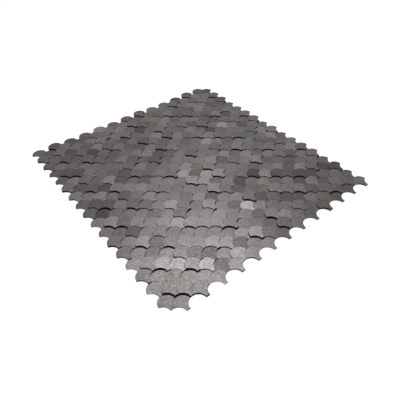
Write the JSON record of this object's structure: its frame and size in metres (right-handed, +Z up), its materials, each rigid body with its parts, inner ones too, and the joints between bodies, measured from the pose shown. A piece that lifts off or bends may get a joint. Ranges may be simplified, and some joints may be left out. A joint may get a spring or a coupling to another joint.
{
  "type": "self-adhesive mosaic tile",
  "caption": "Flat sheet of fish-scale mosaic chips in three heights, interlocking on one die-cut sheet of adhesive film, with scalloped edges.",
  "frame": {"origin": "on the underside of the adhesive film, under the middle of the sheet", "axes": "+Z up out of the visible face, +Y the way the round heads of the chips point, +X along the rows of chips"},
  "size_m": [0.2928, 0.315, 0.003],
  "materials": {
    "chips": "satin stone-grain, warm to cool greys",
    "adhesive_film": "matt film with peel-off liner"
  },
  "bodies": {
    "root": {"adhesive_film": "adhesive_film", "low_chips": "chips", "middle_chips": "chips", "high_chips": "chips"}
  },
  "joints": []
}
